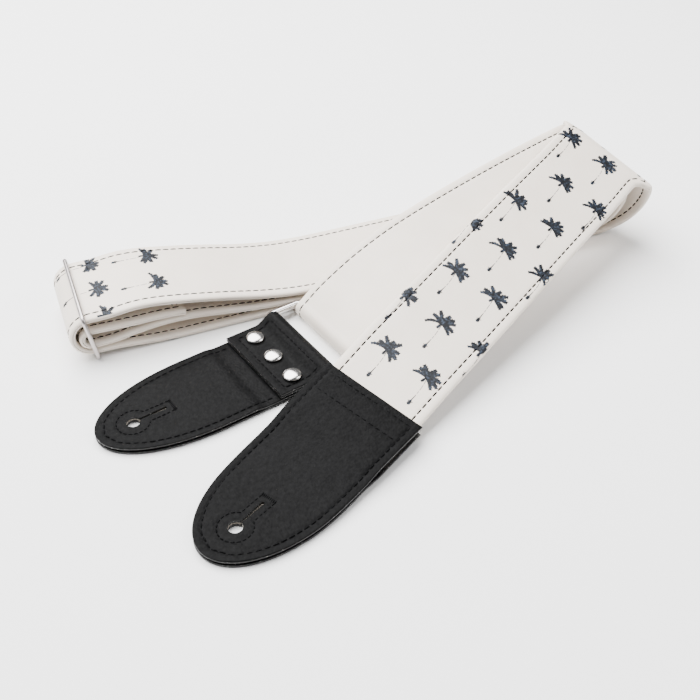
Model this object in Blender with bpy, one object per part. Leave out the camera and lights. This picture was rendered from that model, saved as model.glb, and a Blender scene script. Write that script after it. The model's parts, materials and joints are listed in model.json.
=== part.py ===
"""Guitar strap, folded for display: a two-inch vinyl strap on a steel ring and a tri-glide slide.

Metres, +Z up.  +X runs along the folded bundle, from the slide to the fold.
The strap leaves the front tab, runs up over the bundle, folds back, passes through the slide,
folds inside itself, goes round the ring and comes back to the slide's centre bar.
"""
import bpy
import bmesh
from math import cos, sin, radians, pi, hypot
from mathutils import Vector

MM = 0.001

# ---------------------------------------------------------------- driving dimensions (mm)
STRAP_WIDTH = 50.8          # two-inch strap
VINYL = 0.8                 # printed vinyl and plain vinyl
WEBBING = 0.8               # webbing core between the vinyls
GAP = 0.3                   # space kept between pieces that touch
STRAP_THICK = 2 * VINYL + WEBBING + 2 * GAP
LAYER = STRAP_THICK + 0.4   # pitch of strap runs that lie on each other
STITCH_INSET = 4.5          # stitch row from the strap's edge
THREAD = 0.5

BUNDLE_Y = 4.5              # centre line of the folded bundle
TAB_WIDTH_A = 54.6
TAB_WIDTH_B = 50.6
PANEL = 1.1                 # one leatherette panel of a tab
STIFFENER = 0.6
TAB_LENGTH_A = 105.5
STRAP_IN_TAB = 24.0         # strap end between the front tab's panels
TAB_LENGTH_B = 105.5
SHOULDER_A = 50.0           # where each tab starts to narrow, from its back edge
SHOULDER_B = 50.0
TAB_STITCH = 3.7            # stitch row from a tab's edge
CROSS_STITCH = 14.0         # second row across the front tab, from its back edge
FLAP_B = 26.0               # part of the rear tab that is folded back over the ring
KEYHOLE_STITCH = 7.6        # radius of the stitching round the button hole
SLOT_STITCH = 3.6           # half width of the stitching along the slit
HOLE_RADIUS = 3.25          # strap button hole
SLIT_LENGTH = 12.5
SLIT_WIDTH = 0.9
HOLE_FROM_TIP = 17.5

RING_WIRE = 1.8             # wire radius
RING_INNER = 53.4
RING_REACH = 19.0           # between the axes of the ring's two long bars
SLIDE_WIRE = 1.1
SLIDE_INNER = 52.6
RIVET_RUN = 14.4            # rivets from the ring's near bar
RIVET_PITCH = 16.8
RIVET_CAP = 4.6             # radius of the dome
RIVET_POST = 1.5

FRONT_AZIMUTH = 28.0        # heading of the front tab and the top run
BACK_AZIMUTH = 13.0         # heading of the rear tab and the ring
MIDDLE_AZIMUTH = 14.0       # heading of the middle runs
FRONT_BACK_EDGE = Vector((-187.0, -107.0))
RING_FAR = Vector((-185.3, -50.1, 5.2))
SLIDE_AXIS = Vector((-296.8, BUNDLE_Y, 11.9))
ORIGIN = Vector((-146.4, -66.7, 0.0))   # middle of the folded strap's footprint


# ---------------------------------------------------------------- small helpers
def clear_scene():
    for obj in list(bpy.data.objects):
        bpy.data.objects.remove(obj, do_unlink=True)


def material(name, colour, roughness, metallic=0.0):
    mat = bpy.data.materials.new(name)
    mat.use_nodes = True
    shader = mat.node_tree.nodes["Principled BSDF"]
    shader.inputs["Base Color"].default_value = (*colour, 1.0)
    shader.inputs["Roughness"].default_value = roughness
    shader.inputs["Metallic"].default_value = metallic
    return mat


def heading(azimuth):
    return Vector((cos(radians(azimuth)), sin(radians(azimuth)), 0.0))


def rightward(azimuth):
    return Vector((sin(radians(azimuth)), -cos(radians(azimuth)), 0.0))


def world(point):
    return (Vector(point) - ORIGIN) * MM


def mesh_object(name, verts, faces, mat, origin=None, smooth=False):
    """Closed mesh from millimetre points; origin is a point in millimetres."""
    pivot = world(origin) if origin is not None else Vector((0, 0, 0))
    mesh = bpy.data.meshes.new(name)
    mesh.from_pydata([world(v) - pivot for v in verts], [], faces)
    bm = bmesh.new()
    bm.from_mesh(mesh)
    bmesh.ops.remove_doubles(bm, verts=bm.verts, dist=1e-7)
    bmesh.ops.recalc_face_normals(bm, faces=bm.faces)
    bm.to_mesh(mesh)
    bm.free()
    mesh.materials.append(mat)
    if smooth:
        mesh.shade_smooth()
        mesh.set_sharp_from_angle(angle=radians(40))
    obj = bpy.data.objects.new(name, mesh)
    obj.location = pivot
    bpy.context.scene.collection.objects.link(obj)
    return obj


def boolean(obj, cutter, operation="DIFFERENCE"):
    mod = obj.modifiers.new("cut", "BOOLEAN")
    mod.operation = operation
    mod.object = cutter
    mod.solver = "EXACT"
    cutter.hide_render = True
    cutter.display_type = "WIRE"


# ---------------------------------------------------------------- the strap's route
class Station:
    """One place on the strap: centre, heading of the width direction and bank."""

    def __init__(self, x, y, z, azimuth, bank):
        self.values = (x, y, z, azimuth, bank)


def line_y(start, azimuth, x):
    return start.y + (x - start.x) * sin(radians(azimuth)) / cos(radians(azimuth))


def fold(centre_x, radius, y_top, z_top, z_low, azimuth, bank, upward=False):
    """Half turn from an upper run to a lower one, or the other way round."""
    count = 9
    middle = (z_top + z_low) / 2
    half = (z_top - z_low) / 2
    out = []
    for i in range(count):
        t = i / (count - 1)
        angle = pi / 2 - pi * t
        lean = 0.5 + 0.5 * cos(pi * t)
        out.append(Station(centre_x + radius * cos(angle), BUNDLE_Y + (y_top - BUNDLE_Y) * lean,
                           middle + half * sin(angle), azimuth * lean, bank * lean))
    return out[::-1] if upward else out


def ease(t):
    t = min(max(t, 0.0), 1.0)
    return t * t * (3 - 2 * t)


TAB_FLAT = PANEL + GAP + STIFFENER / 2   # mid height of a tab that lies flat
FRONT_HEIGHT = 11.2                      # mid height and bank at the front tab's back edge
FRONT_BANK = 9.4


def front_height(w):
    return FRONT_HEIGHT + (TAB_FLAT - FRONT_HEIGHT) * ease((w + 20) / 92)


def front_bank(w):
    return FRONT_BANK * (1 - ease((w + 20) / 86))


def top_run():
    """From inside the front tab up to the outer fold."""
    profile = [(-w, front_height(w), front_bank(w)) for w in (STRAP_IN_TAB, 16, 8, 0)]
    profile += [(25, 15.8, 11.4), (50, 20.4, 13.4), (75, 25.2, 15.4), (100, 30.0, 17.4),
                (125, 34.8, 19.0), (150, 39.4, 20.2), (175, 43.6, 21.0)]
    head = heading(FRONT_AZIMUTH)
    out = []
    for run, z, bank in profile:
        out.append(Station(FRONT_BACK_EDGE.x + head.x * run, FRONT_BACK_EDGE.y + head.y * run, z,
                           FRONT_AZIMUTH, bank))
    return out


LOW = STRAP_THICK / 2       # centre height of a run that lies on the floor
TOP_AT_FOLD = 47.9
MIDDLE_AT_FOLD = 44.6
INNER_AT_FOLD = MIDDLE_AT_FOLD - LAYER / cos(radians(21))
FOLD_BANK = 21.0


def outer_fold():
    y_top = line_y(FRONT_BACK_EDGE, FRONT_AZIMUTH, -13.0)
    return fold(-13.0, 19.0, y_top, TOP_AT_FOLD, LOW, FRONT_AZIMUTH, FOLD_BANK)


def lowest_run():
    spots = ((-40, LOW), (-80, LOW), (-120, LOW), (-160, LOW), (-200, LOW), (-240, LOW), (-262, LOW + 0.3),
             (-275, LOW + 1.6), (-286, LOW + 2.6))
    return [Station(x, BUNDLE_Y, z, 0, 0) for x, z in spots]


def outer_turn():
    """Round the slide's centre bar, outside the sewn loop."""
    low, high, centre_x = LOW + 2.7, 22.9, -295.9
    middle, half = (low + high) / 2, (high - low) / 2
    return [Station(centre_x + half * cos(a), BUNDLE_Y, middle + half * sin(a), 0, 0)
            for a in [-pi / 2 - pi * i / 10 for i in range(11)]]


def upper_run():
    spots = ((-286, 23.1), (-274, 24.3), (-262, 23.6), (-245, 20.6), (-228, 17.0), (-212, 13.2), (-196, 10.3),
             (-182, 8.9), (-165, LOW + 2 * LAYER), (-120, LOW + 2 * LAYER), (-80, LOW + 2 * LAYER),
             (-40, LOW + 2 * LAYER))
    return [Station(x, BUNDLE_Y, z, 0, 0) for x, z in spots]


def middle_y(x):
    return line_y(RING_FAR, MIDDLE_AZIMUTH, x)


def inner_fold():
    return fold(-17.8, 9.6, middle_y(-17.0), INNER_AT_FOLD, LOW + 2 * LAYER, MIDDLE_AZIMUTH, FOLD_BANK,
                upward=True)


MIDDLE_PROFILE = ((-50, 41.8, 19.5), (-80, 38.2, 17.8), (-110, 33.8, 15.0), (-135, 29.2, 11.5),
                  (-155, 23.6, 7.5), (-168, 18.6, 4.2), (-177, 14.4, 2.0))


def under_run():
    """Below the visible plain run, back to the ring."""
    out = []
    for x, z, bank in MIDDLE_PROFILE:
        drop = LAYER / cos(radians(bank)) + (1.1 if x < -130 else 0.1)
        out.append(Station(x, middle_y(x), max(z - drop, LOW), MIDDLE_AZIMUTH, bank))
    out[-1] = Station(-176, middle_y(-176), 5.2, MIDDLE_AZIMUTH, 0.8)
    out[-2] = Station(-166, middle_y(-166), 11.4, MIDDLE_AZIMUTH, 3.6)
    return out


def ring_turn():
    """Round the ring's far bar, from below to above."""
    radius = RING_WIRE + 0.4 + STRAP_THICK / 2
    head = heading(BACK_AZIMUTH)
    out = []
    for i in range(9):
        angle = -pi / 2 + 0.25 - (pi + 0.05) * i / 8
        out.append(Station(RING_FAR.x + head.x * radius * cos(angle), RING_FAR.y + head.y * radius * cos(angle),
                           RING_FAR.z + radius * sin(angle), BACK_AZIMUTH, 0))
    return out


def plain_run():
    """The plain run above it, from the ring to the middle fold."""
    return [Station(x, middle_y(x), z, MIDDLE_AZIMUTH, bank) for x, z, bank in reversed(MIDDLE_PROFILE)]


def middle_fold():
    return fold(-17.0, 13.0, middle_y(-17.0), MIDDLE_AT_FOLD, LOW + LAYER, MIDDLE_AZIMUTH, FOLD_BANK)


def return_run():
    spots = ((-40, LOW + LAYER), (-80, LOW + LAYER), (-120, LOW + LAYER), (-160, LOW + LAYER), (-190, 5.2),
             (-212, 6.6), (-230, 9.0), (-245, 11.0), (-260, 11.6), (-274, 10.2), (-286, 8.2))
    return [Station(x, BUNDLE_Y, z, 0, 0) for x, z in spots]


def sewn_loop():
    """Round the centre bar and back on itself, to the sewn end."""
    radius = 4.1
    out = [Station(SLIDE_AXIS.x + radius * cos(a), BUNDLE_Y, SLIDE_AXIS.z + radius * sin(a), 0, 0)
           for a in [-pi / 2 - pi * i / 8 for i in range(9)]]
    spots = (-286, 15.7), (-274, 15.4), (-262, 15.4), (-250, 14.7)
    out += [Station(x, BUNDLE_Y, z, 0, 0) for x, z in spots]
    return out


def strap_stations():
    return (top_run() + outer_fold() + lowest_run() + outer_turn() + upper_run() + inner_fold()
            + under_run() + ring_turn() + plain_run() + middle_fold() + return_run() + sewn_loop())


def catmull(a, b, c, d, t):
    square, cube = 2 * a - 5 * b + 4 * c - d, 3 * b - a - 3 * c + d
    return 0.5 * (2 * b + (c - a) * t + square * t * t + cube * t ** 3)


def frames(stations, longest=14.0):
    """Centre, width direction and face normal at each section of the strap."""
    values = [s.values for s in stations]
    values = [values[0]] + values + [values[-1]]
    rows = []
    for i in range(1, len(values) - 2):
        span = hypot(*[values[i + 1][k] - values[i][k] for k in range(3)])
        parts = max(1, round(span / longest))
        for j in range(parts):
            t = j / parts
            rows.append([catmull(values[i - 1][k], values[i][k], values[i + 1][k], values[i + 2][k], t)
                         for k in range(5)])
    rows.append(list(values[-2]))
    for row in rows:
        row[2] = max(row[2], LOW)       # no run lies below the floor
    out = []
    for i, row in enumerate(rows):
        centre = Vector(row[:3])
        after = Vector(rows[min(i + 1, len(rows) - 1)][:3])
        before = Vector(rows[max(i - 1, 0)][:3])
        along = (after - before).normalized()
        azimuth, bank = row[3], radians(row[4])
        across = rightward(azimuth) * cos(bank) - Vector((0, 0, sin(bank)))
        slant = across.dot(along)
        normal = across.cross(along).normalized()
        out.append((centre, across / (1 - slant * slant) ** 0.5, normal))
    return out


def ribbon(name, sections, left, right, low, high, mat):
    """Closed strip between two widths and two heights over the strap's middle surface."""
    verts = []
    for centre, across, normal in sections:
        for v, h in ((left, low), (right, low), (right, high), (left, high)):
            verts.append(centre + across * v + normal * h)
    faces = [(0, 1, 2, 3), tuple(len(verts) - 4 + k for k in (3, 2, 1, 0))]
    for i in range(len(sections) - 1):
        a, b = 4 * i, 4 * i + 4
        for k in range(4):
            m = (k + 1) % 4
            if k == 2:      # the same diagonal above and below, so that layers stay parallel
                faces += [(a + k, b + k, a + m), (b + k, b + m, a + m)]
            else:
                faces += [(a + k, b + k, b + m), (a + k, b + m, a + m)]
    return mesh_object(name, verts, faces, mat)


def build_strap():
    sections = frames(strap_stations())
    half = STRAP_WIDTH / 2
    face_low = WEBBING / 2 + GAP
    cream = material("cream_vinyl", (0.76, 0.72, 0.68), 0.5)
    plain = material("plain_vinyl", (0.74, 0.69, 0.64), 0.55)
    web = material("webbing", (0.55, 0.52, 0.47), 0.9)
    ribbon("strap_face_vinyl", sections, -half, half, face_low, face_low + VINYL, cream)
    ribbon("strap_webbing_core", sections[1:-1], 2.5 - half, half - 2.5, -WEBBING / 2, WEBBING / 2, web)
    ribbon("strap_backing_vinyl", sections, -half, half, -face_low - VINYL, -face_low, plain)
    return sections


# ---------------------------------------------------------------- tabs
def ogive(w, width, shoulder, length):
    """Half width of a tab that is straight up to its shoulder and rounds off to a tip."""
    if w <= shoulder:
        return width / 2
    t = min((w - shoulder) / (length - shoulder), 1.0)
    return width / 2 * (1 - t ** 2.2) ** 0.5


def front_half_width(w):
    return ogive(w, TAB_WIDTH_A, SHOULDER_A, TAB_LENGTH_A)


def rear_half_width(w):
    return ogive(w, TAB_WIDTH_B, SHOULDER_B, TAB_LENGTH_B)


def front_place(w, v, h):
    """Point of the front tab: w from the back edge, v across, h above the tab's middle."""
    head = heading(FRONT_AZIMUTH)
    across = rightward(FRONT_AZIMUTH)
    bank = radians(front_bank(w))
    base = Vector((FRONT_BACK_EDGE.x - head.x * w, FRONT_BACK_EDGE.y - head.y * w, front_height(w)))
    up = Vector((0, 0, 1)) * cos(bank) + across * sin(bank)
    return base + (across * cos(bank) - Vector((0, 0, sin(bank)))) * v + up * h


PLY_PITCH = GAP / 2                      # a ply's inner face from the middle, where there is no stiffener
REAR_THIN = PANEL + PLY_PITCH
EYE = RING_WIRE + 0.4 + REAR_THIN        # middle radius of the leatherette round the ring


def rear_lift(w):
    """Inner face of each ply from the rear tab's middle surface."""
    return PLY_PITCH + (STIFFENER / 2 + GAP - PLY_PITCH) * ease((w - 33) / 6)


def rear_section(w):
    """Middle surface of the rear tab in profile: distance from the ring's near bar, height, normal angle.

    w > 0 is the body, measured to the tip; w < 0 runs round the bar and back along the folded flap.
    """
    bar_z = RING_FAR.z
    if w >= 0:
        flat = PANEL + rear_lift(w)
        return w, flat + (bar_z - EYE - flat) * (1 - ease(w / 8)), 0.0
    arc = pi * EYE
    if w > -arc:
        a = -w / EYE
        return -EYE * sin(a), bar_z - EYE * cos(a), a
    run = -w - arc
    low = 2 * REAR_THIN + 0.35 + REAR_THIN
    high = bar_z + EYE
    return run, high + (low - high) * ease(run / 9.6), pi


def rear_place(w, v, h):
    """Point of the rear tab: w along it, v across, h above its middle surface."""
    head = heading(BACK_AZIMUTH)
    near = RING_FAR - head * RING_REACH
    x, z, angle = rear_section(w)
    across = rightward(BACK_AZIMUTH)
    x -= h * sin(-angle)
    z += h * cos(angle)
    return Vector((near.x - head.x * x, near.y - head.y * x, z)) + across * v


def plate(name, place, widths, stations, low, high, mat, columns=6):
    """Closed panel over a tab's surface; low and high give its heights at each station."""
    verts = []
    for w in stations:
        half = widths(w)
        for j in range(columns + 1):
            v = -half + 2 * half * j / columns
            verts.append(place(w, v, low(w)))
            verts.append(place(w, v, high(w)))
    row = 2 * (columns + 1)
    faces = []
    for i in range(len(stations) - 1):
        for j in range(columns):
            a = i * row + 2 * j
            b = a + row
            faces.append((a, a + 2, b + 2, b))
            faces.append((a + 1, b + 1, b + 3, a + 3))
        a, b = i * row, (i + 1) * row
        faces.append((a, b, b + 1, a + 1))
        a, b = a + row - 2, b + row - 2
        faces.append((a, a + 1, b + 1, b))
    for start, flip in ((0, False), ((len(stations) - 1) * row, True)):
        for j in range(columns):
            a = start + 2 * j
            quad = (a, a + 1, a + 3, a + 2)
            faces.append(quad[::-1] if flip else quad)
    return mesh_object(name, verts, faces, mat)


def tab_stations(length, bends, shoulder):
    """Closer together where the tab bends and towards its tip."""
    out = [w for w in bends if w < shoulder]
    for i in range(13):
        out.append(shoulder + (length - shoulder) * sin(pi / 2 * i / 12.6))
    return out


def keyhole_cutter(name, place, length, mat):
    """Button hole with its slit, pointing away from the tip."""
    count = 16
    outline = []
    hole = length - HOLE_FROM_TIP
    open_angle = 0.14
    for i in range(count + 1):
        a = open_angle + (2 * pi - 2 * open_angle) * i / count
        outline.append((hole - HOLE_RADIUS * cos(a), HOLE_RADIUS * sin(a)))
    outline.append((hole - HOLE_RADIUS - SLIT_LENGTH, -SLIT_WIDTH / 2))
    outline.append((hole - HOLE_RADIUS - SLIT_LENGTH, SLIT_WIDTH / 2))
    verts = [place(w, v, -6) for w, v in outline] + [place(w, v, 6) for w, v in outline]
    n = len(outline)
    faces = [tuple(range(n)), tuple(range(2 * n - 1, n - 1, -1))]
    faces += [(i, (i + 1) % n, n + (i + 1) % n, n + i) for i in range(n)]
    return mesh_object(name, verts, faces, mat)


def front_lift(w):
    """Inner face of each panel from the tab's middle surface: over the strap end, then the stiffener."""
    over_strap = STRAP_THICK / 2 + GAP + 0.25
    over_core = STIFFENER / 2 + GAP
    return over_strap + (over_core - over_strap) * ease((w - 27) / 14)


def build_front_tab(black, cut):
    stations = tab_stations(TAB_LENGTH_A, (0, 8, 16, 24, 29, 34, 38, 44), SHOULDER_A)
    top = plate("front_tab_top_panel", front_place, front_half_width, stations,
                front_lift, lambda w: front_lift(w) + PANEL, black)
    low = plate("front_tab_bottom_panel", front_place, front_half_width, stations,
                lambda w: -front_lift(w) - PANEL, lambda w: -front_lift(w), black)
    core = plate("front_tab_stiffener", front_place, lambda w: max(front_half_width(w) - 4.6, 1.0),
                 [44, 50, 56, 62, 68, 74, 80, 86, 91, 95, 98], lambda w: -STIFFENER / 2,
                 lambda w: STIFFENER / 2, material("stiffener", (0.30, 0.27, 0.23), 0.9))
    for piece in (top, low, core):
        boolean(piece, cut)


def build_rear_tab(black, cut, posts):
    arc = pi * EYE
    flap = [-arc - FLAP_B * i / 6 for i in range(6, 0, -1)]
    eye = [-arc * i / 8 for i in range(8, -1, -1)]
    body = tab_stations(TAB_LENGTH_B, (4, 8, 20, 33, 35, 37, 40), SHOULDER_B)
    stations = flap + eye + body
    top = plate("rear_tab_top_panel", rear_place, rear_half_width, stations,
                rear_lift, lambda w: rear_lift(w) + PANEL, black, columns=7)
    low = plate("rear_tab_bottom_panel", rear_place, rear_half_width, stations,
                lambda w: -rear_lift(w) - PANEL, lambda w: -rear_lift(w), black, columns=7)
    core = plate("rear_tab_stiffener", rear_place, lambda w: max(rear_half_width(w) - 4.6, 1.0),
                 [42, 50, 58, 66, 74, 80, 86, 91, 95, 98], lambda w: -STIFFENER / 2,
                 lambda w: STIFFENER / 2, material("rear_stiffener", (0.30, 0.27, 0.23), 0.9))
    for piece in (top, low, core):
        boolean(piece, cut)
    for piece in (top, low):
        for post in posts:
            boolean(piece, post)


# ---------------------------------------------------------------- turned and swept pieces
def turned(name, centre, profile, mat, sides=16):
    """Solid of revolution about a vertical axis; profile runs from the bottom axis to the top axis."""
    verts = [centre + Vector((0, 0, profile[0][1])), centre + Vector((0, 0, profile[-1][1]))]
    for r, z in profile[1:-1]:
        for i in range(sides):
            a = 2 * pi * i / sides
            verts.append(centre + Vector((r * cos(a), r * sin(a), z)))
    rings = len(profile) - 2
    faces = []
    for i in range(sides):
        j = (i + 1) % sides
        faces.append((0, 2 + j, 2 + i))
        top = 2 + (rings - 1) * sides
        faces.append((1, top + i, top + j))
        for k in range(rings - 1):
            a, b = 2 + k * sides, 2 + (k + 1) * sides
            faces.append((a + i, a + j, b + j, b + i))
    return mesh_object(name, verts, faces, mat, origin=centre, smooth=True)


def swept(name, path, radius, mat, origin, sides=10, closed=True):
    """Round bar along a path; each path item is (point, sideways, up)."""
    verts = []
    for point, side, up in path:
        for i in range(sides):
            a = 2 * pi * i / sides
            verts.append(point + side * radius * cos(a) + up * radius * sin(a))
    n = len(path)
    faces = []
    for k in range(n if closed else n - 1):
        a, b = k * sides, (k + 1) % n * sides
        for i in range(sides):
            j = (i + 1) % sides
            faces.append((a + i, a + j, b + j, b + i))
    if not closed:
        faces.append(tuple(range(sides)))
        faces.append(tuple(range(n * sides - 1, (n - 1) * sides - 1, -1)))
    return mesh_object(name, verts, faces, mat, origin=origin, smooth=True)


def build_ring(metal):
    """Rectangular ring lying flat; its origin is on the long bar that the strap goes round."""
    head, across, up = heading(BACK_AZIMUTH), rightward(BACK_AZIMUTH), Vector((0, 0, 1))
    half, corner = RING_INNER / 2 + RING_WIRE, 2.6
    loop = []
    for (along, side), start in (((-corner, half - corner), 0), ((-corner, corner - half), 90),
                                 ((corner - RING_REACH, corner - half), 180),
                                 ((corner - RING_REACH, half - corner), 270)):
        for i in range(5):
            a = radians(start + 90 * i / 4)
            out = across * cos(a) + head * sin(a)
            loop.append((RING_FAR + head * along + across * side + out * corner, out, up))
    return swept("ring", loop, RING_WIRE, metal, RING_FAR)


def rod(name, start, end, radius, mat, sides=10):
    """Straight round bar between two points."""
    along = (end - start).normalized()
    side = along.cross(Vector((0.3, 0.2, 0.9))).normalized()
    up = along.cross(side)
    return swept(name, [(start, side, up), (end, side, up)], radius, mat, SLIDE_AXIS, sides, closed=False)


def build_slide(metal):
    """Tri-glide: top, centre and bottom bars between two side bars, joined into one solid."""
    half = SLIDE_INNER / 2 + SLIDE_WIRE
    levels = (Vector((-298.6, 0, 25.9)), Vector((SLIDE_AXIS.x, 0, SLIDE_AXIS.z)), Vector((-295.2, 0, 1.15)))
    left, right = Vector((0, BUNDLE_Y + half, 0)), Vector((0, BUNDLE_Y - half, 0))
    frame = []
    corner = 3.0
    slope = (levels[2] - levels[0]).normalized()
    for level, side, first, second in ((levels[0], left, Vector((0, 1, 0)), -slope),
                                       (levels[2], left, slope, Vector((0, 1, 0))),
                                       (levels[2], right, Vector((0, -1, 0)), slope),
                                       (levels[0], right, -slope, Vector((0, -1, 0)))):
        centre = level + side - first * corner - second * corner
        for i in range(4):
            a = pi / 2 * (1 - i / 3)
            out = first * cos(a) + second * sin(a)
            frame.append((centre + out * corner, out, slope.cross(Vector((0, 1, 0)))))
    slide = swept("tri_glide_slide", frame, SLIDE_WIRE, metal, SLIDE_AXIS)
    bar = rod("slide_bar_cutter", levels[1] + left, levels[1] + right, SLIDE_WIRE * 0.98, metal)
    boolean(slide, bar, "UNION")


# ---------------------------------------------------------------- thread
def thread(name, points, mat, closed=False, flat=0.25):
    """Thin flat thread lying on a surface; each item is (point, normal)."""
    n = len(points)
    verts = []
    for i, (point, normal) in enumerate(points):
        after = points[(i + 1) % n][0] if closed or i < n - 1 else point
        before = points[i - 1][0] if closed or i > 0 else point
        side = (after - before).cross(normal).normalized() * THREAD / 2
        lift = normal.normalized() * flat
        verts += [point - side, point + side, point + side + lift, point - side + lift]
    faces = []
    for i in range(n if closed else n - 1):
        a, b = 4 * i, 4 * ((i + 1) % n)
        for k in range(4):
            m = (k + 1) % 4
            faces.append((a + k, a + m, b + m, b + k))
    if not closed:
        faces += [(3, 2, 1, 0), tuple(4 * n - 4 + k for k in range(4))]
    return mesh_object(name, verts, faces, mat)


def tab_row(place, lift, spots, side=1):
    """Points on a tab's outer face for places (w, v)."""
    out = []
    for w, v in spots:
        h = side * (lift(w) + PANEL + GAP)
        low = place(w, v, h)
        out.append((low, place(w, v, h + side) - low))
    return out


def outline_spots(half_width, length, start, count):
    """Stitch row inside a tab's outline, from its right side round the tip to its left side."""
    side = []
    for i in range(count + 1):
        w = start + (length - TAB_STITCH - start) * sin(pi / 2 * i / count)
        side.append((w, max(half_width(w + TAB_STITCH * 0.55) - TAB_STITCH, 0.0)))
    return side + [(w, -v) for w, v in side[-2::-1]]


def keyhole_spots(length):
    hole = length - HOLE_FROM_TIP
    opening = 0.49
    spots = []
    for i in range(15):
        a = opening + (2 * pi - 2 * opening) * i / 14
        spots.append((hole - KEYHOLE_STITCH * cos(a), KEYHOLE_STITCH * sin(a)))
    end = hole - HOLE_RADIUS - SLIT_LENGTH - 3.6
    return spots + [(end, -SLOT_STITCH), (end, SLOT_STITCH)]


def build_threads(sections, dark):
    row = STRAP_WIDTH / 2 - STITCH_INSET
    tail = sections[-2]
    spots = [tail[0] + tail[1] * v for v in (-row + 1, -row / 2, 0, row / 2, row - 1)]
    lift = STRAP_THICK / 2 + GAP * 0.4
    thread("sewn_end_bar_tack", [(p + tail[2] * lift, tail[2]) for p in spots], dark, flat=0.15)

    edge = TAB_WIDTH_A / 2 - TAB_STITCH
    around = outline_spots(front_half_width, TAB_LENGTH_A, TAB_STITCH, 14)
    front = tab_row(front_place, front_lift, around + [(TAB_STITCH, 0)])
    thread("front_tab_perimeter_thread", front, dark, closed=True)
    cross = [(CROSS_STITCH, edge - 1.2 - (2 * edge - 2.4) * i / 4) for i in range(5)]
    thread("front_tab_cross_thread", tab_row(front_place, front_lift, cross), dark)
    thread("front_keyhole_thread", tab_row(front_place, front_lift, keyhole_spots(TAB_LENGTH_A)), dark,
           closed=True)

    arc = pi * EYE
    around = outline_spots(rear_half_width, TAB_LENGTH_B, SHOULDER_B, 12)
    thread("rear_tab_edge_thread", tab_row(rear_place, rear_lift, around), dark)
    row = tab_row(rear_place, rear_lift, keyhole_spots(TAB_LENGTH_B))
    thread("rear_keyhole_thread", row, dark, closed=True)
    edge = TAB_WIDTH_B / 2 - TAB_STITCH
    ends = (-arc - 3.0, -arc - 7.5, -arc - 12.0, -arc - FLAP_B + 4.5)
    box = [(w, edge) for w in ends] + [(ends[-1], 0)] + [(w, -edge) for w in reversed(ends)] + [(ends[0], 0)]
    thread("rear_flap_thread", tab_row(rear_place, rear_lift, box, -1), dark, closed=True)


def rivet_centre(k):
    near = RING_FAR - heading(BACK_AZIMUTH) * (RING_REACH + RIVET_RUN)
    return Vector((near.x, near.y, 0)) + rightward(BACK_AZIMUTH) * RIVET_PITCH * k


def build_rivets(steel, guide):
    """Three domed rivets through the flap and the body; returns the cutters for their holes."""
    top = 2 * REAR_THIN + 0.35 + 2 * REAR_THIN + GAP
    cutters = []
    for k, label in ((-1, "left"), (0, "middle"), (1, "right")):
        centre = rivet_centre(k)
        dome = [(RIVET_CAP * cos(a), top + 0.3 + 1.6 * sin(a)) for a in (0, 0.35, 0.75, 1.15)]
        cap = [(0, 1.35), (RIVET_POST, 1.35), (RIVET_POST, top), (RIVET_CAP, top)] + dome + [(0, top + 1.9)]
        turned(f"rivet_{label}_cap", centre, cap, steel)
        back = [(0, 0.02), (RIVET_CAP - 0.5, 0.02), (RIVET_CAP - 0.2, 0.3), (RIVET_CAP - 0.2, 1.0), (0, 1.0)]
        turned(f"rivet_{label}_back", centre, back, steel)
        hole = [(0, -1), (RIVET_CAP + 0.15, -1), (RIVET_CAP + 0.15, 1.25), (RIVET_POST + 0.35, 1.25),
                (RIVET_POST + 0.35, top + 1), (0, top + 1)]
        cutters.append(turned(f"rivet_{label}_hole_cutter", centre, hole, guide))
    return cutters


def main():
    clear_scene()
    black = material("black_leatherette", (0.022, 0.022, 0.024), 0.45)
    dark = material("black_thread", (0.015, 0.015, 0.02), 0.7)
    steel = material("nickel_plated_steel", (0.72, 0.70, 0.69), 0.2, 1.0)
    guide = material("guide", (0.8, 0.2, 0.2), 0.5)
    sections = build_strap()
    build_front_tab(black, keyhole_cutter("front_keyhole_cutter", front_place, TAB_LENGTH_A, guide))
    rear_cut = keyhole_cutter("rear_keyhole_cutter", rear_place, TAB_LENGTH_B, guide)
    build_rear_tab(black, rear_cut, build_rivets(steel, guide))
    build_ring(steel)
    build_slide(steel)
    build_threads(sections, dark)


main()
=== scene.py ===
"""Looks of the folded guitar strap: printed vinyl, leatherette tabs, stitching, ring, slide and rivets.

Everything is worked out in millimetres in the folded bundle's own frame, and place() takes it to the
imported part's frame.  u runs along the strap from its end inside the front tab, v across it and h out of
the printed face; on a tab w runs towards the tip.
"""
import json
from math import cos, exp, hypot, pi, radians, sin

import bmesh
import bpy
import numpy as np
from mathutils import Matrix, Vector, noise


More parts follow.
